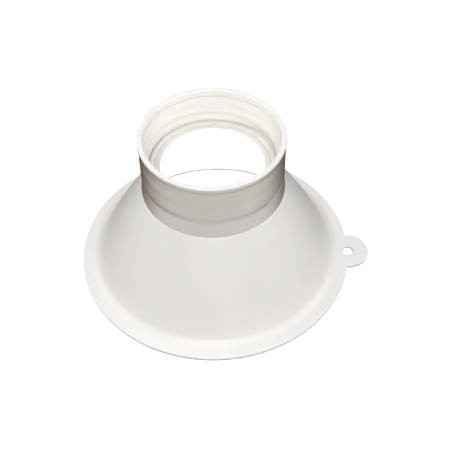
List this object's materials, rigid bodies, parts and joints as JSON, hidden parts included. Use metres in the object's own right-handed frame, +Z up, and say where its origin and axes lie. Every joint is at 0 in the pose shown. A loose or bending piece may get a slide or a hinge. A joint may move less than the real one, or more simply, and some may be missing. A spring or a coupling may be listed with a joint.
{
  "type": "screw-on funnel",
  "caption": "White plastic wide-mouth funnel on a flat brim with a hang tab, and a short screw collar with an inside thread on top.",
  "frame": {"origin": "centre of the mouth, on the flat underside of the brim that the funnel stands on", "axes": "+Z up through the throat and out of the screw collar, +X from the axis to the hang tab's hole"},
  "size_m": [0.1206, 0.112, 0.066],
  "materials": {
    "body": "moulded, satin gloss, faintly translucent",
    "collar": "moulded, satin gloss, faint helical sink marks",
    "seal": "soft matt elastomer, creamy"
  },
  "bodies": {
    "root": {"funnel_body": "body", "threaded_collar": "collar", "sealing_ring": "seal"}
  },
  "joints": []
}
